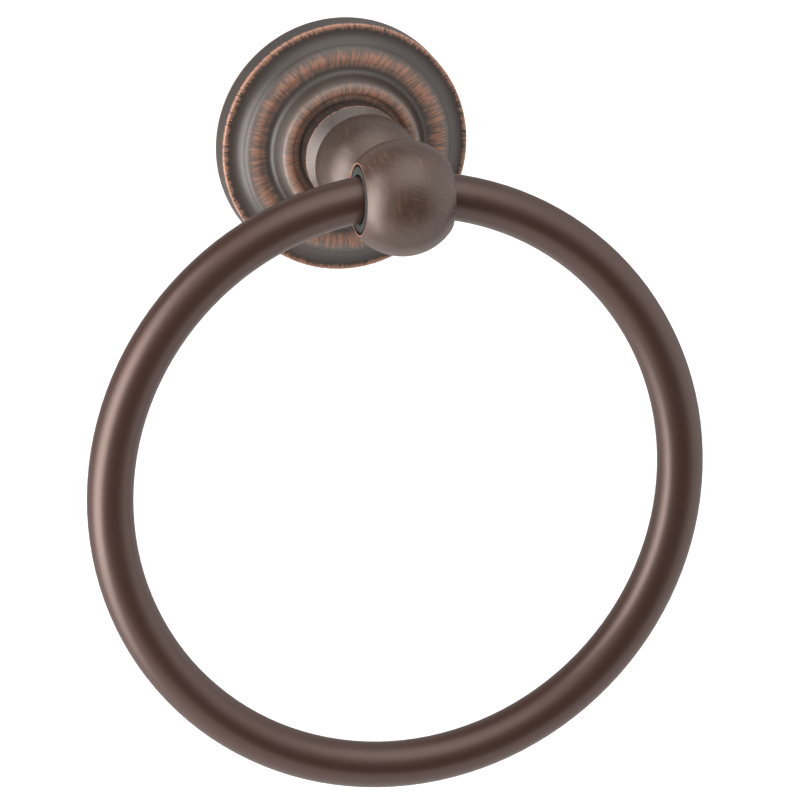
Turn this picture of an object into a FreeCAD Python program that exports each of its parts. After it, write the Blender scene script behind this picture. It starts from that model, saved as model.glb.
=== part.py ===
# Towel ring: a tube ring that swings in the lined cross bore of a post turned as two balls,
# on a moulded round rosette that hooks over a wall bracket.
# Millimetres. +Z is up, +Y goes into the wall, and the origin is on the wall
# at the centre of the rosette's back.
import FreeCAD, Part
import math
import os

# Ring: a round tube bent to a circle, its two ends meeting inside the ball
ring_diameter = 152.4        # centre line of the tube
ring_tube = 12.0             # outside diameter of the tube
ring_wall = 1.2
ring_end_gap = 0.3           # hairline between the two ends

# Bushes that line the ball's cross bore, one from each side
bush_recess = 0.5            # bush face behind the bore's rim
bush_space = 5.2             # between the two bushes, in the middle of the ball
bush_wall = 1.5
bush_slack = 0.2             # gap between bush and bore
bush_lip = 1.4               # length of the narrow lip that carries the tube
bush_relief = 3.7            # length of the cone behind the lip
ring_clearance = 0.5         # lip to tube
relief_clearance = 1.3       # bush to tube behind the cone
bush_chamfer = 0.3

# Post: one casting of foot, shoulder ball, neck and the ball that holds the ring
foot_radius = 13.5
foot_height = 6.17           # its straight side, above the rosette's seat
foot_round = 0.35
foot_slope = 45.0            # degrees that its front face leans outwards
shoulder_radius = 13.85
shoulder_rise = 12.75        # foot's front corner to the centre of the shoulder
neck_radius = 7.0
neck_length = 6.3            # its straight stretch
neck_cove = 2.0              # hollow round at both ends of the neck
ball_radius = 15.1
bore_edge_round = 0.35

# Rosette: a thin shell, its front turned, from the post outwards, as a groove, a bead, a slope, a cove,
# a hollow, a larger bead, a larger and flatter cove and the rim
rim_height = 7.0
rim_draft = 0.3              # the rim leans in by this much
rim_round = 0.35
rim_land = 0.3               # flat ring between the rim's edge and the outer cove
rim_wall = 2.2
shell_wall = 1.8
outer_cove_width = 4.3
outer_cove_rise = 1.9
outer_bead_round = 3.0
outer_bead_rise = 1.5        # crest above the crease in front of it
valley_depth = 1.1           # below the outer bead's crest
valley_round = 2.2           # hollow round that the outer bead's back runs into
inner_cove_width = 2.1
inner_cove_rise = 1.2
inner_slope_width = 1.55     # straight slope from the inner cove up to the inner bead
inner_bead_round = 1.7
inner_bead_rise = 0.85
groove_width = 1.9           # post's foot to the inner bead
groove_draft = 0.4
groove_depth = 2.4           # below the inner bead's crest; its floor is the seat of the post
seat_thickness = 2.4

# Screw and washer that hold the post to the rosette, and the pip that stops it turning
post_screw_radius = 3.0
post_screw_length = 16.0
post_screw_head_radius = 5.5
post_screw_head_height = 3.5
post_screw_key = 4.0         # hexagon, across flats
post_screw_key_depth = 2.2
post_hole_depth = 14.0
thread_slack = 0.05
screw_hole_slack = 0.3
washer_thickness = 1.2
washer_radius = 5.9
washer_slack = 0.2
washer_slit = 0.8
pip_radius = 1.5
pip_length = 1.6
pip_inset = 5.0              # its axis, inwards from the side of the foot
pip_slack = 0.1

# Wall bracket: a dished disc whose edge is cut under, so that the rosette hooks over it
bracket_thickness = 4.5
bracket_inset = 7.5          # its front edge, inwards from the side of the rosette
bracket_undercut = 1.6       # the back edge is smaller by this much
bracket_floor = 2.5
bracket_rib = 4.6            # width of the raised rim round the dish
bracket_chamfer = 0.4
wall_hole_radius = 2.4
wall_hole_spacing = 32.0
hook_gap = 0.3               # hook to the bracket's edge
hook_width = 12.0
wall_gap = 0.4               # hook and boss stay this far off the wall

# Set screw, from below through the rim into a boss, against the bracket's edge
set_screw_radius = 2.0
set_screw_length = 6.0
set_screw_height = 3.5       # its axis off the wall
set_screw_point = 1.0        # length of the cone point
set_screw_tip = 0.6          # radius at the end of the point
set_screw_key = 2.0
set_screw_key_depth = 1.8
set_screw_gap = 0.1          # tip to the bracket's edge
boss_width = 10.0
boss_gap = 1.0               # boss to the bracket's front edge


def bead_side(rounding, below_crest):
    # How far from its crest a round bead reaches, this far below it
    return math.sqrt(rounding ** 2 - (rounding - below_crest) ** 2)


def cove_centre(radius):
    # From a ball's centre, along the post, to the centre of the neck's cove that touches the ball
    return math.sqrt((radius + neck_cove) ** 2 - (neck_radius + neck_cove) ** 2)


# Rosette's heights off the wall, from the rim up
outer_crease_height = rim_height + outer_cove_rise
outer_bead_height = outer_crease_height + outer_bead_rise
valley_height = outer_bead_height - valley_depth
slope_start_height = valley_height + inner_cove_rise
slope_angle = 2 * math.atan2(inner_cove_rise, inner_cove_width)
slope_end_height = slope_start_height + inner_slope_width * math.tan(slope_angle)
inner_bead_height = slope_end_height + inner_bead_rise
groove_wall_height = inner_bead_height - inner_bead_round
seat_height = inner_bead_height - groove_depth
seat_under = seat_height - seat_thickness
washer_back = seat_under - washer_thickness

# Rosette's radii, from the foot of the post outwards
inner_bead_radius = foot_radius + groove_width + inner_bead_round
slope_end = inner_bead_radius + bead_side(inner_bead_round, inner_bead_rise)
slope_start = slope_end + inner_slope_width
valley_radius = slope_start + inner_cove_width
outer_bead_radius = valley_radius + bead_side(outer_bead_round + valley_round, valley_depth)
outer_foot = outer_bead_radius + bead_side(outer_bead_round, outer_bead_rise)
cove_start = outer_foot + outer_cove_width
rim_front = cove_start + rim_land + rim_round
rosette_radius = rim_front + rim_draft
bracket_radius = rosette_radius - bracket_inset
bracket_back_radius = bracket_radius - bracket_undercut

# Post's heights off the wall
foot_front = seat_height + foot_height
shoulder_height = foot_front + shoulder_rise
neck_start = shoulder_height + cove_centre(shoulder_radius)
projection = neck_start + neck_length + cove_centre(ball_radius)

# Bore, bushes and the place of the ring
ring_radius = ring_diameter / 2
tube_radius = ring_tube / 2
bore_radius = tube_radius + relief_clearance + bush_wall + bush_slack
rim_plane = math.sqrt(ball_radius ** 2 - bore_radius ** 2)
bush_face = rim_plane - bush_recess
bush_end = bush_space / 2
lip_middle = bush_face - bush_lip / 2
# The tube is centred where it passes the lips, so its top stands a little above the bore's axis
ring_rise = ring_radius - math.sqrt(ring_radius ** 2 - lip_middle ** 2)

pip_offset = foot_radius - pip_inset
screw_hole_radius = post_screw_radius + screw_hole_slack

origin = FreeCAD.Vector(0, 0, 0)
along_x = FreeCAD.Vector(1, 0, 0)
along_y = FreeCAD.Vector(0, 1, 0)
along_z = FreeCAD.Vector(0, 0, 1)
off_wall = FreeCAD.Vector(0, -1, 0)
ball_centre = FreeCAD.Vector(0, -projection, 0)
ring_centre = FreeCAD.Vector(0, -projection, ring_rise - ring_radius)


def at(radius, height):
    # A point of a turned outline: its distance from the post's axis and its height off the wall
    return FreeCAD.Vector(radius, -height, 0)


def lines(points):
    # Straight edges through the points in turn
    return [Part.LineSegment(a, b).toShape() for a, b in zip(points, points[1:])]


def arc(start, middle, end):
    return Part.Arc(start, middle, end).toShape()


def turned(edges, centre=origin, axis=along_y):
    # The solid that the closed outline sweeps about the axis
    return Part.Face(Part.Wire(edges)).revolve(centre, axis, 360)


def round_about(radius, height, rounding, side_a, side_b):
    # Three points of a rounded corner between two sides that leave it: its ends and its middle
    corner = at(radius, height)
    half_angle = side_a.getAngle(side_b) / 2
    reach = rounding / math.tan(half_angle)
    inwards = (side_a + side_b).normalize()
    middle = corner + inwards * (rounding / math.sin(half_angle) - rounding)
    return corner + side_a * reach, middle, corner + side_b * reach


def cove(start_radius, start_height, end_radius, end_height):
    # A hollow quarter that leaves its start level and climbs to its end, nearer the axis
    across = start_radius - end_radius
    up = end_height - start_height
    hollow = (across ** 2 + up ** 2) / (2 * up)
    turn = 2 * math.atan2(up, across)
    middle = at(start_radius - hollow * math.sin(turn / 2),
                start_height + hollow * (1 - math.cos(turn / 2)))
    return arc(at(start_radius, start_height), middle, at(end_radius, end_height))


def cylinder(radius, length, base, direction):
    return Part.makeCylinder(radius, length, base, direction)


def hexagon_socket(across_flats, depth, base, direction):
    # The hexagonal hole for a key, from its mouth at the base
    corner_radius = across_flats / math.sqrt(3)
    side = direction.cross(along_x)
    if side.Length < 0.5:
        side = direction.cross(along_z)
    side.normalize()
    turn = FreeCAD.Rotation(direction, 60)
    corners = [side * corner_radius]
    for _ in range(6):
        corners.append(turn.multVec(corners[-1]))
    outline = Part.makePolygon([base + corner for corner in corners])
    return Part.Face(outline).extrude(direction * depth)


def block(width, low_z, high_z, low_height, high_height):
    # A box centred on the middle plane, given by its height off the wall
    corner = FreeCAD.Vector(-width / 2, -high_height, low_z)
    return Part.makeBox(width, high_height - low_height, high_z - low_z, corner)


def rosette_front():
    # The moulded front, from the wall at the rim to the centre of the seat
    edge = round_about(rim_front, rim_height, rim_round, -off_wall, -along_x)
    inner_back = inner_bead_radius - inner_bead_round
    edges = lines([at(rosette_radius, 0), edge[0]])
    edges.append(arc(*edge))
    edges += lines([edge[2], at(cove_start, rim_height)])
    edges.append(cove(cove_start, rim_height, outer_foot, outer_crease_height))
    # The bead's back and the hollow behind it touch where the line between their centres crosses both
    bead_centre = at(outer_bead_radius, outer_bead_height - outer_bead_round)
    hollow_centre = at(valley_radius, valley_height + valley_round)
    between = (hollow_centre - bead_centre).normalize()
    touch = bead_centre + between * outer_bead_round
    hollow_middle = hollow_centre - (between + off_wall).normalize() * valley_round
    edges.append(arc(at(outer_foot, outer_crease_height), at(outer_bead_radius, outer_bead_height), touch))
    edges.append(arc(touch, hollow_middle, at(valley_radius, valley_height)))
    edges.append(cove(valley_radius, valley_height, slope_start, slope_start_height))
    edges += lines([at(slope_start, slope_start_height), at(slope_end, slope_end_height)])
    edges.append(arc(at(slope_end, slope_end_height), at(inner_bead_radius, inner_bead_height),
                     at(inner_back, groove_wall_height)))
    edges += lines([at(inner_back, groove_wall_height), at(inner_back - groove_draft, seat_height),
                    at(0, seat_height)])
    return edges


def rosette_back():
    # The hollow back, in steps that follow the front
    inside = rosette_radius - rim_wall
    under_rim = rim_height - shell_wall
    under_valley = valley_height - shell_wall
    outer_side = outer_bead_radius + outer_bead_round
    inner_side = inner_bead_radius + inner_bead_round
    return lines([at(0, seat_height), at(0, seat_under), at(inner_side, seat_under),
                  at(inner_side + shell_wall, under_valley), at(outer_side - shell_wall / 2, under_valley),
                  at(outer_side + shell_wall / 2, under_rim), at(inside - rim_draft, under_rim),
                  at(inside, 0), at(rosette_radius, 0)])


def bracket_edge(height):
    # Radius of the bracket's undercut edge, which is widest just behind its front chamfer
    return bracket_back_radius + bracket_undercut * height / (bracket_thickness - bracket_chamfer)


def hook():
    # The lug at the top that goes behind the bracket's undercut edge
    inside = rosette_radius - rim_wall + rim_draft
    top = rim_height - shell_wall + rim_draft
    widest = bracket_thickness - bracket_chamfer
    lug = turned(lines([at(bracket_edge(wall_gap) + hook_gap, wall_gap),
                        at(bracket_edge(widest) + hook_gap, widest),
                        at(bracket_edge(widest) + hook_gap, top), at(inside, top), at(inside, wall_gap),
                        at(bracket_edge(wall_gap) + hook_gap, wall_gap)]))
    return lug.common(block(hook_width, 0, rosette_radius, 0, rim_height))


def set_screw_boss():
    # The thick place at the bottom of the rim that the set screw goes through
    inside = rosette_radius - rim_wall + rim_draft
    top = rim_height - shell_wall + rim_draft
    return block(boss_width, -inside, -(bracket_radius + boss_gap), wall_gap, top)


def make_rosette():
    shell = turned(rosette_front() + rosette_back())
    shell = shell.fuse([hook(), set_screw_boss()]).removeSplitter()
    through = 2 * rosette_radius
    post_hole = cylinder(screw_hole_radius, through, origin, off_wall)
    pip_hole = cylinder(pip_radius + pip_slack, through, FreeCAD.Vector(0, 0, pip_offset), off_wall)
    set_hole = cylinder(set_screw_radius + thread_slack, rosette_radius,
                        FreeCAD.Vector(0, -set_screw_height, -bracket_radius), -along_z)
    return shell.cut([post_hole, pip_hole, set_hole])


def shoulder_start():
    # Where the foot's sloping face runs into the rear of the shoulder
    inwards = at(-math.cos(math.radians(foot_slope)), math.sin(math.radians(foot_slope)))
    corner = at(foot_radius, foot_front)
    from_centre = corner - at(0, shoulder_height)
    along = from_centre.dot(inwards)
    run = -along - math.sqrt(along ** 2 - from_centre.Length ** 2 + shoulder_radius ** 2)
    return corner + inwards * run


def neck_arc():
    # The cove that leads from the shoulder, which it touches, into the straight neck
    middle_of_shoulder = at(0, shoulder_height)
    centre = at(neck_radius + neck_cove, neck_start)
    touch = centre + (middle_of_shoulder - centre).normalize() * neck_cove
    end = at(neck_radius, neck_start)
    middle = centre + (touch + end - centre * 2).normalize() * neck_cove
    return touch, middle, end


def shoulder_side(start, end):
    # The shoulder's round side between two of its points, by way of its widest place
    return arc(start, at(shoulder_radius, shoulder_height), end)


def make_post():
    slope_top = shoulder_start()
    slope = (slope_top - at(foot_radius, foot_front)).normalize()
    foot_corner = round_about(foot_radius, foot_front, foot_round, -off_wall, slope)
    cove_points = neck_arc()
    edges = lines([at(0, projection), at(0, seat_height), at(foot_radius, seat_height), foot_corner[0]])
    edges.append(arc(*foot_corner))
    edges += lines([foot_corner[2], slope_top])
    edges.append(shoulder_side(slope_top, cove_points[0]))
    edges.append(arc(*cove_points))
    edges += lines([cove_points[2], at(neck_radius, projection), at(0, projection)])
    ball = Part.makeSphere(ball_radius, ball_centre, along_x)
    bore = cylinder(bore_radius, 4 * ball_radius, ball_centre - along_x * 2 * ball_radius, along_x)
    body = turned(edges).fuse(ball).cut(bore)
    crease = at(0, projection - math.sqrt(ball_radius ** 2 - neck_radius ** 2))
    body = body.makeFillet(neck_cove, [edge for edge in body.Edges
                                       if edge.BoundBox.YLength < neck_cove / 10
                                       and abs(edge.CenterOfMass.y - crease.y) < neck_cove / 10])
    rims = [edge for edge in body.Edges
            if abs(abs(edge.CenterOfMass.x) - rim_plane) < bore_edge_round
            and edge.BoundBox.XLength < bore_edge_round]
    body = body.makeFillet(bore_edge_round, rims)
    pip = cylinder(pip_radius, pip_length + foot_round,
                   FreeCAD.Vector(0, -seat_height - foot_round, pip_offset), along_y)
    screw_hole = cylinder(post_screw_radius + thread_slack, post_hole_depth, at(0, seat_height), off_wall)
    return body.fuse(pip).cut(screw_hole)


def make_ring():
    # The tube starts and ends inside the ball, half of the end gap from the top
    half_gap = math.degrees(ring_end_gap / 2 / ring_radius)
    top = ring_centre + along_z * ring_radius
    outside = Part.Face(Part.Wire(Part.makeCircle(tube_radius, top, along_x)))
    hollow = Part.Face(Part.Wire(Part.makeCircle(tube_radius - ring_wall, top, along_x)))
    section = outside.cut(hollow)
    section.rotate(ring_centre, along_y, half_gap)
    return section.revolve(ring_centre, along_y, 360 - 2 * half_gap)


def make_bush(side):
    # The lip is at the mouth, and behind it the bush opens out to clear the tube's curve
    lip = tube_radius + ring_clearance
    relief = tube_radius + relief_clearance
    outside = bore_radius - bush_slack
    cone_start = bush_face - bush_lip
    profile = [(bush_face, lip), (bush_face, outside - bush_chamfer), (bush_face - bush_chamfer, outside),
               (bush_end, outside), (bush_end, relief), (cone_start - bush_relief, relief),
               (cone_start, lip), (bush_face, lip)]
    points = [ball_centre + FreeCAD.Vector(side * distance, 0, radius) for distance, radius in profile]
    return turned(lines(points), ball_centre, along_x)


def make_post_screw():
    under_head = at(0, washer_back)
    head_back = at(0, washer_back - post_screw_head_height)
    head = cylinder(post_screw_head_radius, post_screw_head_height, head_back, off_wall)
    back_edge = [edge for edge in head.Edges if abs(edge.CenterOfMass.y - head_back.y) < thread_slack
                 and len(edge.Vertexes) == 1]
    head = head.makeFillet(post_screw_head_height / 3, back_edge)
    shank = cylinder(post_screw_radius, post_screw_length, under_head, off_wall)
    key = hexagon_socket(post_screw_key, post_screw_key_depth, head_back, off_wall)
    return head.fuse(shank).cut(key).removeSplitter()


def make_lock_washer():
    outside = cylinder(washer_radius, washer_thickness, at(0, washer_back), off_wall)
    inside = cylinder(post_screw_radius + washer_slack, washer_thickness, at(0, washer_back), off_wall)
    slit = block(washer_slit, 0, 2 * washer_radius, washer_back, seat_under)
    return outside.cut([inside, slit])


def make_wall_bracket():
    dish = bracket_radius - bracket_rib
    disc = turned(lines([at(0, 0), at(bracket_back_radius, 0),
                         at(bracket_radius, bracket_thickness - bracket_chamfer),
                         at(bracket_radius - bracket_chamfer, bracket_thickness), at(dish, bracket_thickness),
                         at(dish - (bracket_thickness - bracket_floor) / 2, bracket_floor),
                         at(0, bracket_floor), at(0, 0)]))
    holes = [cylinder(wall_hole_radius, bracket_thickness, FreeCAD.Vector(0, 0, side * wall_hole_spacing / 2),
                      off_wall) for side in (-1, 1)]
    return disc.cut(holes)


def make_set_screw():
    tip = bracket_edge(set_screw_height + set_screw_tip) + set_screw_gap
    start = FreeCAD.Vector(0, -set_screw_height, -tip)
    point = Part.makeCone(set_screw_tip, set_screw_radius, set_screw_point, start, -along_z)
    shank = cylinder(set_screw_radius, set_screw_length - set_screw_point, start - along_z * set_screw_point,
                     -along_z)
    key = hexagon_socket(set_screw_key, set_screw_key_depth, start - along_z * set_screw_length, along_z)
    return point.fuse(shank).cut(key).removeSplitter()


pieces = {
    "rosette": make_rosette(),
    "post": make_post(),
    "ring": make_ring(),
    "left_bush": make_bush(-1),
    "right_bush": make_bush(1),
    "post_screw": make_post_screw(),
    "lock_washer": make_lock_washer(),
    "wall_bracket": make_wall_bracket(),
    "set_screw": make_set_screw(),
}

os.makedirs("parts", exist_ok=True)
for name, shape in pieces.items():
    shape.exportStep(f"parts/{name}.step")
    print(f"{name}: valid {shape.isValid()}, {len(shape.Solids)} solid, {shape.Volume:.0f} mm3")
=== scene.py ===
import math
import bpy
from mathutils import Matrix, Vector

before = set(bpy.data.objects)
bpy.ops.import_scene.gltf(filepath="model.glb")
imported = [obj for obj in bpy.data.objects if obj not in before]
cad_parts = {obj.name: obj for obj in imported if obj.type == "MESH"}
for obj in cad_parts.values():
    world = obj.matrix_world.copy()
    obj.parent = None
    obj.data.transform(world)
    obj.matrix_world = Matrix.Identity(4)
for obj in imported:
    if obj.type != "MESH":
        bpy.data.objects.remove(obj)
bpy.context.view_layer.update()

# Towel ring in rubbed bronze. Metres, +Z up, the wall is the plane y = 0 and the ring hangs at y = -0.0644.
# Places in the finishes are in millimetres.
print("frame loaded:", len(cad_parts), "nodes")

mmPerMetre = 1000.0
noiseMiddle = 0.5                # a noise texture swings about this value


# Node helpers

def addNode(tree, kind, settings=None, inputs=None):
    # one node, its own settings first, then its input sockets: a value, or a socket to link from
    node = tree.nodes.new(kind)
    for name, value in (settings or {}).items():
        setattr(node, name, value)
    for name, value in (inputs or {}).items():
        feed(tree, value, node.inputs[name])
    return node


def feed(tree, value, socket):
    if isinstance(value, bpy.types.NodeSocket):
        tree.links.new(value, socket)
    else:
        socket.default_value = value


def calculate(tree, operation, first, second=0.0, third=0.0, clamp=False):
    return addNode(tree, "ShaderNodeMath", {"operation": operation, "use_clamp": clamp},
                   {0: first, 1: second, 2: third}).outputs[0]


def vectorStep(tree, operation, first, second=(0, 0, 0)):
    return addNode(tree, "ShaderNodeVectorMath", {"operation": operation}, {0: first, 1: second}).outputs[0]


def scaleVector(tree, vector, amount):
    return addNode(tree, "ShaderNodeVectorMath", {"operation": "SCALE"},
                   {0: vector, "Scale": amount}).outputs[0]


def splitVector(tree, vector):
    return addNode(tree, "ShaderNodeSeparateXYZ", inputs={0: vector}).outputs


def turnVector(tree, vector, angle):
    # about the post's axis
    return addNode(tree, "ShaderNodeVectorRotate", {"rotation_type": "Y_AXIS"},
                   {"Vector": vector, "Angle": angle}).outputs[0]


def ramp(tree, value, start, end, low=0.0, high=1.0):
    # smooth step from low to high while the value goes from start to end, in either direction
    return addNode(tree, "ShaderNodeMapRange", {"interpolation_type": "SMOOTHSTEP"},
                   {"Value": value, "From Min": start, "From Max": end, "To Min": low, "To Max": high}
                   ).outputs["Result"]


def noise(tree, vector, scale, detail, roughness=0.5):
    return addNode(tree, "ShaderNodeTexNoise", inputs={"Vector": vector, "Scale": scale, "Detail": detail,
                                                       "Roughness": roughness}).outputs[0]


def mixColour(tree, amount, first, second):
    # a mix node takes its two colours at sockets 6 and 7, and two plain values at 2 and 3
    return addNode(tree, "ShaderNodeMix", {"data_type": "RGBA"},
                   {0: amount, 6: first, 7: second}).outputs[2]


def mixValue(tree, amount, first, second):
    return addNode(tree, "ShaderNodeMix", {"data_type": "FLOAT"},
                   {0: amount, 2: first, 3: second}).outputs[0]


def newMaterial(name, shaderValues):
    material = bpy.data.materials.new(name)
    material.use_nodes = True
    tree = material.node_tree
    tree.nodes.clear()
    output = addNode(tree, "ShaderNodeOutputMaterial")
    shader = addNode(tree, "ShaderNodeBsdfPrincipled", inputs=shaderValues)
    tree.links.new(shader.outputs["BSDF"], output.inputs["Surface"])
    return material, tree, shader


def newGroup(name, inputs, outputs):
    # inputs: name to start value; outputs: name to socket type
    tree = bpy.data.node_groups.new(name, "ShaderNodeTree")
    for socketName, value in inputs.items():
        kind = "NodeSocketFloat" if isinstance(value, float) else "NodeSocketVector"
        if not isinstance(value, float) and len(value) == 4:
            kind = "NodeSocketColor"
        tree.interface.new_socket(socketName, in_out="INPUT", socket_type=kind).default_value = value
    for socketName, kind in outputs.items():
        tree.interface.new_socket(socketName, in_out="OUTPUT", socket_type=kind)
    return tree, tree.nodes.new("NodeGroupInput").outputs, tree.nodes.new("NodeGroupOutput").inputs


def useGroup(tree, name, inputs):
    return addNode(tree, "ShaderNodeGroup", {"node_tree": groups[name]}, inputs).outputs


def objectPoint(tree):
    return addNode(tree, "ShaderNodeTexCoord").outputs["Object"]


# Effects that several finishes share

def makePolarPlace():
    # place on a turned piece, in mm: direction round the post's axis, distance from that axis and height
    # off the wall
    tree, given, result = newGroup("polarPlace", {"Point": (0, 0, 0)}, {
        "Direction": "NodeSocketVector", "Radius": "NodeSocketFloat", "Height": "NodeSocketFloat"})
    scaled = vectorStep(tree, "MULTIPLY", given["Point"], (mmPerMetre,) * 3)
    flat = vectorStep(tree, "MULTIPLY", scaled, (1, 0, 1))       # as seen from the front
    feed(tree, vectorStep(tree, "NORMALIZE", flat), result["Direction"])
    length = addNode(tree, "ShaderNodeVectorMath", {"operation": "LENGTH"}, {0: flat}).outputs["Value"]
    feed(tree, length, result["Radius"])
    feed(tree, calculate(tree, "MULTIPLY", splitVector(tree, scaled)["Y"], -1.0), result["Height"])
    return tree


def makeBorePlace():
    # place round the ball's cross bore, in mm: distance from the bore's axis and from the middle plane
    tree, given, result = newGroup("borePlace", {"Point": (0, 0, 0), "Ball Place": 64.387}, {
        "Radius": "NodeSocketFloat", "Sideways": "NodeSocketFloat"})
    parts = splitVector(tree, vectorStep(tree, "MULTIPLY", given["Point"], (mmPerMetre,) * 3))
    forward = calculate(tree, "ADD", parts["Y"], given["Ball Place"])
    forwardSquare = calculate(tree, "POWER", forward, 2.0)
    upSquare = calculate(tree, "POWER", parts["Z"], 2.0)
    feed(tree, calculate(tree, "SQRT", calculate(tree, "ADD", forwardSquare, upSquare)), result["Radius"])
    feed(tree, calculate(tree, "ABSOLUTE", parts["X"]), result["Sideways"])
    return tree


wipePattern = {
    "bendScale": 70.0,           # how fast the bend changes over the piece
    "bendDetail": 1.0,
    "detail": 2.0,
    "roughness": 0.6,
    "cover": (0.44, 0.80),       # noise at which a wipe starts to show, and at which it shows fully
}


def makeWipes():
    # soft short wipes round the piece, Width and Length in mm, that lean by Lean and bend a little
    tree, given, result = newGroup("wipes", {
        "Point": (0, 0, 0), "Lean": 0.0, "Width": 0.45, "Length": 4.5, "Bend": 0.004}, {
        "Mask": "NodeSocketFloat"})
    pattern = wipePattern
    bend = addNode(tree, "ShaderNodeTexNoise", inputs={
        "Vector": given["Point"], "Scale": pattern["bendScale"], "Detail": pattern["bendDetail"]}
                   ).outputs["Color"]
    shift = scaleVector(tree, vectorStep(tree, "SUBTRACT", bend, (noiseMiddle,) * 3), given["Bend"])
    leaning = turnVector(tree, vectorStep(tree, "ADD", given["Point"], shift), given["Lean"])
    across = calculate(tree, "DIVIDE", mmPerMetre, given["Width"])
    lengthways = calculate(tree, "DIVIDE", mmPerMetre, given["Length"])
    cells = addNode(tree, "ShaderNodeCombineXYZ", inputs={"X": across, "Y": lengthways, "Z": lengthways}
                    ).outputs[0]
    stretched = vectorStep(tree, "MULTIPLY", leaning, cells)
    streaky = noise(tree, stretched, 1.0, pattern["detail"], pattern["roughness"])
    feed(tree, ramp(tree, streaky, *pattern["cover"]), result["Mask"])
    return tree


def makeSoftBand():
    # 1 between two values, fading out on both sides
    tree, given, result = newGroup("softBand", {
        "Value": 0.0, "Middle": 0.0, "Half Width": 1.0, "Fade": 1.0}, {"Mask": "NodeSocketFloat"})
    away = calculate(tree, "ABSOLUTE", calculate(tree, "SUBTRACT", given["Value"], given["Middle"]))
    outside = calculate(tree, "ADD", given["Half Width"], given["Fade"])
    feed(tree, ramp(tree, away, outside, given["Half Width"]), result["Mask"])
    return tree


streakPattern = {
    "detail": 2.0,
    "roughness": 0.6,
    "broadScale": 0.38,          # scale of the broad streaks' noise, where the fine ones' is 1
    "broadShare": 0.62,
    "driftScale": 55.0,          # how fast the slant changes over the piece
    "driftDetail": 1.0,
    "spiralRadius": 20.0,        # mm, slanted lines cross this circle where straight ones would
}


def makeRubStreaks():
    # rubbed lines that run outwards from the post's axis, a little aslant: fine ones over broad ones, with
    # Count of the fine ones to a turn. They cover less where the zone mask is low.
    tree, given, result = newGroup("rubStreaks", {
        "Point": (0, 0, 0), "Along": 0.0, "Count": 460.0, "Length": 3.0, "Slant": 0.5, "Zone": 1.0,
        "Reach": 1.2, "Cover": 0.5, "Contrast": 3.0}, {"Mask": "NodeSocketFloat"})
    pattern = streakPattern

    def streaks(cells, scale):
        swing = noise(tree, cells, scale, pattern["detail"], pattern["roughness"])
        return calculate(tree, "SUBTRACT", swing, noiseMiddle)

    place = useGroup(tree, "polarPlace", {"Point": given["Point"]})
    slow = noise(tree, given["Point"], pattern["driftScale"], pattern["driftDetail"])
    drift = calculate(tree, "SUBTRACT", slow, noiseMiddle)
    outwards = calculate(tree, "DIVIDE", place["Radius"], pattern["spiralRadius"])
    spiral = calculate(tree, "LOGARITHM", outwards, math.e)
    turn = calculate(tree, "MULTIPLY", calculate(tree, "MULTIPLY", drift, given["Slant"]), spiral)
    turned = turnVector(tree, place["Direction"], turn)
    around = scaleVector(tree, turned, calculate(tree, "DIVIDE", given["Count"], 2 * math.pi))
    lengthways = addNode(tree, "ShaderNodeCombineXYZ", inputs={
        "Y": calculate(tree, "DIVIDE", given["Along"], given["Length"])}).outputs[0]
    cells = vectorStep(tree, "ADD", around, lengthways)
    fine = streaks(cells, 1.0)
    broad = streaks(cells, pattern["broadScale"])
    both = calculate(tree, "MULTIPLY_ADD", broad, pattern["broadShare"], fine)
    covered = calculate(tree, "MULTIPLY_ADD", both, given["Contrast"], given["Cover"])
    held = calculate(tree, "MULTIPLY", calculate(tree, "SUBTRACT", 1.0, given["Zone"]), given["Reach"])
    shown = ramp(tree, calculate(tree, "SUBTRACT", covered, held), 0.0, 1.0)
    feed(tree, calculate(tree, "MULTIPLY", shown, given["Zone"]), result["Mask"])
    return tree


grainPattern = {
    "fineDetail": 2.0,
    "coarseDetail": 3.0,
    "coarseShare": 0.5,
}


def makeSatinGrain():
    # the fine unevenness of a rubbed and lacquered finish: a height for a bump, and a roughness that
    # follows it, by Spread either way
    tree, given, result = newGroup("satinGrain", {
        "Point": (0, 0, 0), "Fine": 4500.0, "Coarse": 500.0, "Roughness": 0.4, "Spread": 0.08}, {
        "Height": "NodeSocketFloat", "Roughness": "NodeSocketFloat"})
    fine = noise(tree, given["Point"], given["Fine"], grainPattern["fineDetail"])
    coarse = noise(tree, given["Point"], given["Coarse"], grainPattern["coarseDetail"])
    feed(tree, calculate(tree, "MULTIPLY_ADD", coarse, grainPattern["coarseShare"], fine), result["Height"])
    swing = calculate(tree, "MULTIPLY", calculate(tree, "SUBTRACT", coarse, noiseMiddle), given["Spread"])
    # twice, because the noise swings by half either way
    feed(tree, calculate(tree, "MULTIPLY_ADD", swing, 2.0, given["Roughness"]), result["Roughness"])
    return tree


cloudPattern = {
    "detail": 4.0,
    "roughness": 0.6,
}


def makeMottle():
    # slow, cloudy change between two shades
    tree, given, result = newGroup("mottle", {
        "Point": (0, 0, 0), "Scale": 120.0, "Sharpness": 0.25, "Shade": (0, 0, 0, 1),
        "Other Shade": (1, 1, 1, 1)}, {"Color": "NodeSocketColor", "Mask": "NodeSocketFloat"})
    cloud = noise(tree, given["Point"], given["Scale"], cloudPattern["detail"], cloudPattern["roughness"])
    low = calculate(tree, "SUBTRACT", noiseMiddle, given["Sharpness"])
    high = calculate(tree, "ADD", noiseMiddle, given["Sharpness"])
    mask = ramp(tree, cloud, low, high)
    feed(tree, mask, result["Mask"])
    feed(tree, mixColour(tree, mask, given["Shade"], given["Other Shade"]), result["Color"])
    return tree


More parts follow.
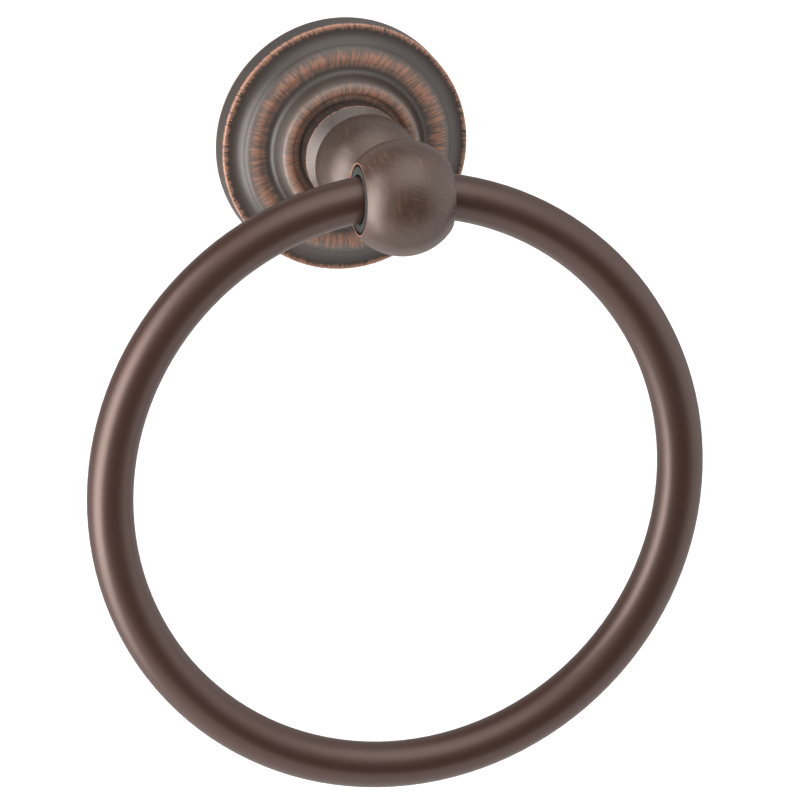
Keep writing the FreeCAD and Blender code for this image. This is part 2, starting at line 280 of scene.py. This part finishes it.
groups = {}
for groupName, makeGroup in [("polarPlace", makePolarPlace), ("borePlace", makeBorePlace),
                             ("wipes", makeWipes), ("softBand", makeSoftBand),
                             ("rubStreaks", makeRubStreaks), ("satinGrain", makeSatinGrain),
                             ("mottle", makeMottle)]:
    groups[groupName] = makeGroup()
print("shared effects done")


def band(tree, value, middle, halfWidth, fade):
    return useGroup(tree, "softBand", {"Value": value, "Middle": middle, "Half Width": halfWidth,
                                       "Fade": fade})["Mask"]


def addCopper(tree, shader, worn, patina, finish):
    # copper shows through the patina where it is worn
    feed(tree, mixColour(tree, worn, patina, finish["copper"]), shader.inputs["Base Color"])
    feed(tree, calculate(tree, "MULTIPLY", worn, finish["copperMetal"]), shader.inputs["Metallic"])


def newBronze(name, finish):
    return newMaterial(name, {"IOR": finish["index"], "Specular Tint": finish["sheenTint"]})


grainHeight = 0.0001             # metres


def addGrain(tree, shader, point, finish, worn=None):
    # the satin grain's roughness and bump on a finish; worn copper is duller
    rough = finish["roughness"]
    if worn is not None:
        rough = ramp(tree, worn, 0.0, 1.0, rough, finish["copperRoughness"])
    grain = useGroup(tree, "satinGrain", {"Point": point, "Roughness": rough,
                                          "Spread": finish["roughnessSpread"]})
    bump = addNode(tree, "ShaderNodeBump", inputs={"Strength": finish["grainStrength"],
                                                   "Distance": grainHeight, "Height": grain["Height"]})
    feed(tree, bump.outputs["Normal"], shader.inputs["Normal"])
    feed(tree, grain["Roughness"], shader.inputs["Roughness"])


# Rosette: dark patina, rubbed through to copper on its beads and its rim, with a paler band on each bead
# that is partly rubbed patina and partly painted sheen

rosetteFinish = {
    "patina": (0.042, 0.033, 0.028, 1),
    "patinaWarm": (0.053, 0.037, 0.030, 1),
    # paler patina on the bead crests: partly rubbed, partly a painted sheen
    "patinaRubbedSheen": (0.225, 0.172, 0.148, 1),
    "copper": (0.65, 0.335, 0.230, 1),
    "copperMetal": 0.35,
    "copperRoughness": 0.50,
    "sheenTint": (1.0, 0.95, 0.91, 1),
    "index": 1.77,
    "roughness": 0.38,
    "roughnessSpread": 0.06,
    "grainStrength": 0.05,
    # zones: middle, half width and fade, of a distance from the post's axis or a height off the wall
    "outerBeadPaleSheen": (24.6, 1.0, 2.2),
    "innerBeadPaleSheen": (16.2, 1.2, 2.3),
    "outerBeadCopper": (24.5, 0.4, 3.0),
    "innerBeadCopper": (16.0, 0.6, 2.8),
    "beadStreaks": {"Count": 620.0, "Length": 3.6, "Cover": 0.72, "Contrast": 8.0, "Reach": 1.4},
    "rimRadius": (33.15, 0.2, 2.0),
    "rimHeight": (7.2, 0.5, 1.6),
    "rimStreaks": {"Count": 620.0, "Length": 1.8, "Cover": 1.0, "Contrast": 3.8, "Reach": 1.2},
    "backHeight": (0.0, 0.15, 0.5),
    "backRadius": (32.4, 32.9),  # from no wear to full wear
    "backWear": 0.5,
    "backFacing": (0.35, 0.10),  # normal's y, from the hollow back, which nothing rubs, to the outside
}


def makeRosetteBronze():
    finish = rosetteFinish
    material, tree, shader = newBronze("rosetteBronze", finish)
    point = objectPoint(tree)
    place = useGroup(tree, "polarPlace", {"Point": point})
    radius = place["Radius"]
    # a paler band over each bead, partly rubbed patina and partly painted sheen where the crests catch the
    # light
    paleSheen = calculate(tree, "MAXIMUM", band(tree, radius, *finish["outerBeadPaleSheen"]),
                     band(tree, radius, *finish["innerBeadPaleSheen"]))
    beads = calculate(tree, "MAXIMUM", band(tree, radius, *finish["outerBeadCopper"]),
                      band(tree, radius, *finish["innerBeadCopper"]))
    beadStreaks = useGroup(tree, "rubStreaks", {"Point": point, "Along": radius, "Zone": beads,
                                                **finish["beadStreaks"]})["Mask"]
    rim = calculate(tree, "MULTIPLY", band(tree, radius, *finish["rimRadius"]),
                    band(tree, place["Height"], *finish["rimHeight"]))
    rimStreaks = useGroup(tree, "rubStreaks", {"Point": point, "Along": radius, "Zone": rim,
                                               **finish["rimStreaks"]})["Mask"]
    # the back edge, against the wall, shows a thin copper line too
    backEdge = calculate(tree, "MULTIPLY", band(tree, place["Height"], *finish["backHeight"]),
                         ramp(tree, radius, *finish["backRadius"], 0.0, finish["backWear"]))
    facing = splitVector(tree, addNode(tree, "ShaderNodeTexCoord").outputs["Normal"])["Y"]
    outside = ramp(tree, facing, *finish["backFacing"])
    edges = calculate(tree, "MAXIMUM", calculate(tree, "MAXIMUM", beadStreaks, rimStreaks), backEdge)
    worn = calculate(tree, "MULTIPLY", outside, edges)
    cloudy = useGroup(tree, "mottle", {"Point": point, "Shade": finish["patina"],
                                       "Other Shade": finish["patinaWarm"]})["Color"]
    patina = mixColour(tree, paleSheen, cloudy, finish["patinaRubbedSheen"])
    addCopper(tree, shader, worn, patina, finish)
    addGrain(tree, shader, point, finish, worn)
    return material


# Post: the same bronze, browner, with faint copper where hands and cloths rub it

postFinish = {
    "patina": (0.048, 0.0225, 0.0140, 1),
    "patinaWarm": (0.074, 0.036, 0.023, 1),
    "patches": {"Scale": 125.0, "Sharpness": 0.16},
    "footPatina": (0.030, 0.028, 0.026, 1),
    "footEnd": (20.0, 46.0),     # heights off the wall over which the foot's patina gives way to the other
    "copper": (0.62, 0.320, 0.220, 1),
    "copperMetal": 0.35,
    "copperRoughness": 0.50,
    "sheenTint": (1.0, 0.86, 0.80, 1),
    "index": 1.98,
    "roughness": 0.36,
    "roughnessSpread": 0.06,
    "grainStrength": 0.05,
    # zones as on the rosette, but the bore's rim goes by the distance from the bore's own axis
    "cornerRadius": (13.45, 0.05, 0.3),
    "cornerHeight": (17.75, 0.05, 0.35),
    "cornerStreaks": {"Count": 300.0, "Length": 1.5, "Cover": 0.45, "Contrast": 3.0, "Reach": 1.5},
    "boreRim": (9.28, 0.08, 0.22),
    "boreMouth": (11.2, 11.8),   # distances from the middle plane over which the rim's wear sets in
    "wipeStrength": 0.20,
    "uprightWipes": {"Lean": 0.25},
    "levelWipes": {"Lean": 1.2, "Width": 0.4},
    "levelLimit": 0.8,           # the level wipes end where the patches are this warm
}


def makePostBronze():
    finish = postFinish
    material, tree, shader = newBronze("postBronze", finish)
    point = objectPoint(tree)
    place = useGroup(tree, "polarPlace", {"Point": point})
    along = calculate(tree, "SUBTRACT", place["Radius"], place["Height"])
    # the foot's corner, and the bore's rims on the ball's two sides
    corner = calculate(tree, "MULTIPLY", band(tree, place["Radius"], *finish["cornerRadius"]),
                       band(tree, place["Height"], *finish["cornerHeight"]))
    cornerStreaks = useGroup(tree, "rubStreaks", {"Point": point, "Along": along, "Zone": corner,
                                                  **finish["cornerStreaks"]})["Mask"]
    bore = useGroup(tree, "borePlace", {"Point": point})
    rim = calculate(tree, "MULTIPLY", band(tree, bore["Radius"], *finish["boreRim"]),
                    ramp(tree, bore["Sideways"], *finish["boreMouth"]))
    edges = calculate(tree, "MAXIMUM", cornerStreaks, rim)
    # soft wipes this way and that, one set where the cloudy patina is warm and one where it is dark
    patch = useGroup(tree, "mottle", {"Point": point, "Shade": finish["patina"],
                                      "Other Shade": finish["patinaWarm"], **finish["patches"]})
    upright = useGroup(tree, "wipes", {"Point": point, **finish["uprightWipes"]})["Mask"]
    level = useGroup(tree, "wipes", {"Point": point, **finish["levelWipes"]})["Mask"]
    dark = calculate(tree, "SUBTRACT", finish["levelLimit"], patch["Mask"], clamp=True)
    wiped = calculate(tree, "MAXIMUM", calculate(tree, "MULTIPLY", upright, patch["Mask"]),
                      calculate(tree, "MULTIPLY", level, dark))
    faint = calculate(tree, "MULTIPLY", wiped, finish["wipeStrength"])
    patina = mixColour(tree, ramp(tree, place["Height"], *finish["footEnd"]), finish["footPatina"],
                       patch["Color"])
    worn = calculate(tree, "MAXIMUM", faint, edges)
    addCopper(tree, shader, worn, patina, finish)
    addGrain(tree, shader, point, finish, worn)
    return material


# Ring: smooth, redder and a little glossier than the castings

ringFinish = {
    "brown": (0.047, 0.0165, 0.0095, 1),
    "plum": (0.047, 0.0190, 0.0150, 1),
    "patchScale": 45.0,
    "sheenTint": (1.0, 0.77, 0.70, 1),
    "index": 1.97,
    "roughness": 0.35,
    "roughnessSpread": 0.03,
    "grainStrength": 0.03,
}


def makeRingBronze():
    finish = ringFinish
    material, tree, shader = newBronze("ringBronze", finish)
    point = objectPoint(tree)
    shade = useGroup(tree, "mottle", {"Point": point, "Scale": finish["patchScale"],
                                      "Shade": finish["brown"], "Other Shade": finish["plum"]})
    feed(tree, shade["Color"], shader.inputs["Base Color"])
    addGrain(tree, shader, point, finish)
    return material


# Bushes: dark moulded plastic, its face lightly scuffed by the tube, and a painted shadow round its edge
# where it meets the bore

bushFinish = {
    "plastic": (0.044, 0.050, 0.048, 1),
    "scuffed": (0.092, 0.100, 0.096, 1),
    "scuffs": {"Scale": 900.0, "Sharpness": 0.15},
    "shadow": (0.002, 0.002, 0.002, 1),
    "gapShadowRadius": (8.15, 8.40),   # from clean plastic to the painted shadow of the gap between bush and bore
    "roughness": 0.55,
    "roughnessSpread": 0.10,
    "grainStrength": 0.25,
}


def makeBushPlastic():
    finish = bushFinish
    material, tree, shader = newMaterial("bushPlastic", {})
    point = objectPoint(tree)
    shade = useGroup(tree, "mottle", {"Point": point, "Shade": finish["plastic"],
                                      "Other Shade": finish["scuffed"], **finish["scuffs"]})
    bore = useGroup(tree, "borePlace", {"Point": point})
    # painted shadow: the colour goes near black towards the bush's outer edge, where the gap to the bore is
    gapShadow = ramp(tree, bore["Radius"], *finish["gapShadowRadius"])
    feed(tree, mixColour(tree, gapShadow, shade["Color"], finish["shadow"]), shader.inputs["Base Color"])
    addGrain(tree, shader, point, finish)
    return material


# Hidden hardware: zinc-plated screw and washer, bracket and blackened set screw

hardware = {
    "zincPlate": {"shade": (0.55, 0.56, 0.56, 1), "other": (0.66, 0.66, 0.62, 1), "scale": 260.0,
                  "roughness": 0.32, "roughnessSpread": 0.10, "grainStrength": 0.12},
    "bracketPlate": {"shade": (0.46, 0.46, 0.45, 1), "other": (0.60, 0.60, 0.57, 1), "scale": 110.0,
                     "roughness": 0.40, "roughnessSpread": 0.12, "grainStrength": 0.20},
    "blackenedSteel": {"shade": (0.045, 0.045, 0.048, 1), "other": (0.085, 0.080, 0.078, 1), "scale": 700.0,
                       "roughness": 0.42, "roughnessSpread": 0.12, "grainStrength": 0.15},
}


def makePlate(name):
    finish = hardware[name]
    material, tree, shader = newMaterial(name, {"Metallic": 1.0})
    point = objectPoint(tree)
    shade = useGroup(tree, "mottle", {"Point": point, "Scale": finish["scale"], "Shade": finish["shade"],
                                      "Other Shade": finish["other"]})
    feed(tree, shade["Color"], shader.inputs["Base Color"])
    addGrain(tree, shader, point, finish)
    return material


bushPlastic = makeBushPlastic()
zincPlate = makePlate("zincPlate")
finishes = {
    "rosette": makeRosetteBronze(),
    "post": makePostBronze(),
    "ring": makeRingBronze(),
    "left_bush": bushPlastic,
    "right_bush": bushPlastic,
    "post_screw": zincPlate,
    "lock_washer": zincPlate,
    "wall_bracket": makePlate("bracketPlate"),
    "set_screw": makePlate("blackenedSteel"),
}
for nodeName, nodeMaterial in finishes.items():
    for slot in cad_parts[nodeName].material_slots:
        slot.material = nodeMaterial
print("finishes done")


# Studio: a white table, soft light from the left, a lighter ceiling and a dark room behind the camera

studio = {
    "floorHeight": -0.80,
    "floorFront": -1.02,         # the table ends here, in front of the object
    "floorSize": 8.0,
    "floorShade": 0.40,
    "floorRoughness": 0.9,
    "floorWhite": 1.0,           # as the camera sees it
    "floorGlow": 0.52,           # as the bronze sees it
    "floorGlowBack": 0.20,       # the same, well behind the wall
    "floorGlowRange": (0.0, 2.0),    # metres behind the wall, from the one glow to the other
    "room": 0.62,
    "backDark": 0.30,            # share of the room's light that is missing behind the wall
    "backRange": (0.0, 0.8),     # y of the direction, from full light to darkest
    # the sides of the room, each with the cosines to it between which it fades in
    "ceiling": 0.95,
    "ceilingSide": (0.0, -0.40, 0.91),
    "ceilingRange": (0.70, 0.985),
    "upperLeftDark": 0.64,       # share of the light that is missing up on the left, behind the wall
    "upperLeftSide": (-0.58, 0.15, 0.80),
    "upperLeftRange": (0.55, 0.95),
    "rightFill": 0.30,
    "rightSide": (0.85, -0.5, -0.05),
    "rightRange": (0.2, 0.85),
    "frontDark": 0.12,
    "frontSide": (-0.03, -0.966, -0.259),
    "frontRange": (0.45, 0.96),
    "softboxAim": (0, -0.064, -0.10),
}
softboxes = {
    "softboxWide": {"brightness": 2.0, "azimuth": -84.0, "distance": 0.45, "width": 1.10, "height": 0.32},
    "softboxBright": {"brightness": 2.2, "azimuth": -74.0, "distance": 0.44, "width": 0.50, "height": 0.25},
}


def makeFloor():
    half = studio["floorSize"] / 2
    front = studio["floorFront"]
    back = studio["floorSize"]
    mesh = bpy.data.meshes.new("floor")
    corners = [(-half, front), (half, front), (half, back), (-half, back)]
    mesh.from_pydata([(x, y, studio["floorHeight"]) for x, y in corners], [], [(0, 1, 2, 3)])
    floor = bpy.data.objects.new("floor", mesh)
    bpy.context.scene.collection.objects.link(floor)
    material, tree, shader = newMaterial("paleFloor", {
        "Base Color": (studio["floorShade"],) * 3 + (1,), "Roughness": studio["floorRoughness"],
        "Emission Color": (1, 1, 1, 1)})
    behind = splitVector(tree, objectPoint(tree))["Y"]
    seen = ramp(tree, behind, *studio["floorGlowRange"], studio["floorGlow"], studio["floorGlowBack"])
    isCamera = addNode(tree, "ShaderNodeLightPath").outputs["Is Camera Ray"]
    feed(tree, mixValue(tree, isCamera, seen, studio["floorWhite"]), shader.inputs["Emission Strength"])
    mesh.materials.append(material)


def makeWorld():
    world = bpy.data.worlds.new("whiteTent")
    bpy.context.scene.world = world
    world.use_nodes = True
    tree = world.node_tree
    tree.nodes.clear()
    output = addNode(tree, "ShaderNodeOutputWorld")
    direction = addNode(tree, "ShaderNodeTexCoord").outputs["Generated"]

    def towards(name, low, high):
        # high towards that side of the room, low away from it
        side = tuple(Vector(studio[name + "Side"]).normalized())
        near = addNode(tree, "ShaderNodeVectorMath", {"operation": "DOT_PRODUCT"}, {0: direction, 1: side}
                       ).outputs["Value"]
        return ramp(tree, near, *studio[name + "Range"], low, high)

    ceiling = towards("ceiling", 0.0, studio["ceiling"])
    fill = towards("right", 0.0, studio["rightFill"])
    room = ramp(tree, splitVector(tree, direction)["Y"], *studio["backRange"], studio["room"],
                studio["room"] * (1 - studio["backDark"]))
    shaded = calculate(tree, "MULTIPLY", room, towards("upperLeft", 1.0, 1.0 - studio["upperLeftDark"]))
    light = calculate(tree, "ADD", calculate(tree, "ADD", ceiling, fill), shaded)
    lit = mixValue(tree, towards("front", 0.0, 1.0), light, studio["frontDark"])
    isCamera = addNode(tree, "ShaderNodeLightPath").outputs["Is Camera Ray"]
    background = addNode(tree, "ShaderNodeBackground", inputs={
        "Color": (1, 1, 1, 1), "Strength": mixValue(tree, isCamera, lit, 1.0)})
    tree.links.new(background.outputs["Background"], output.inputs["Surface"])


def makeSoftbox(name):
    box = softboxes[name]
    azimuth = math.radians(box["azimuth"])
    light = bpy.data.lights.new(name, "AREA")
    light.shape = "RECTANGLE"
    light.size = box["width"]
    light.size_y = box["height"]
    # a softbox of any size looks equally bright
    light.energy = box["brightness"] * math.pi * box["width"] * box["height"]
    lamp = bpy.data.objects.new(name, light)
    bpy.context.scene.collection.objects.link(lamp)
    aim = Vector(studio["softboxAim"])
    lamp.location = aim + Vector((math.sin(azimuth), -math.cos(azimuth), 0)) * box["distance"]
    lamp.rotation_euler = (aim - lamp.location).to_track_quat("-Z", "Z").to_euler()
    lamp.visible_camera = False


# Camera: as the photograph was taken, from the front, a little left of and above the ring

photoCamera = {
    "target": (0.00034, -0.0644, -0.05365),
    "distance": 2.5,
    "azimuth": -15.36,
    "elevation": 14.78,
    "roll": 1.08,
    "lens": 436.5,
    "sensor": 36.0,
    "clipEnd": 20.0,
}


def makeCamera():
    azimuth = math.radians(photoCamera["azimuth"])
    elevation = math.radians(photoCamera["elevation"])
    roll = math.radians(photoCamera["roll"])
    back = Vector((math.sin(azimuth) * math.cos(elevation), -math.cos(azimuth) * math.cos(elevation),
                   math.sin(elevation)))
    level = Vector((math.cos(azimuth), math.sin(azimuth), 0))
    upright = back.cross(level)
    right = math.cos(roll) * level + math.sin(roll) * upright
    up = -math.sin(roll) * level + math.cos(roll) * upright
    data = bpy.data.cameras.new("photoCamera")
    data.lens = photoCamera["lens"]
    data.sensor_width = photoCamera["sensor"]
    data.clip_end = photoCamera["clipEnd"]
    camera = bpy.data.objects.new("photoCamera", data)
    bpy.context.scene.collection.objects.link(camera)
    camera.matrix_world = Matrix((right, up, back)).transposed().to_4x4()
    camera.location = Vector(photoCamera["target"]) + back * photoCamera["distance"]
    bpy.context.scene.camera = camera


makeFloor()
makeWorld()
for softboxName in softboxes:
    makeSoftbox(softboxName)
makeCamera()
bpy.context.scene.view_settings.view_transform = "Standard"
print("studio done")
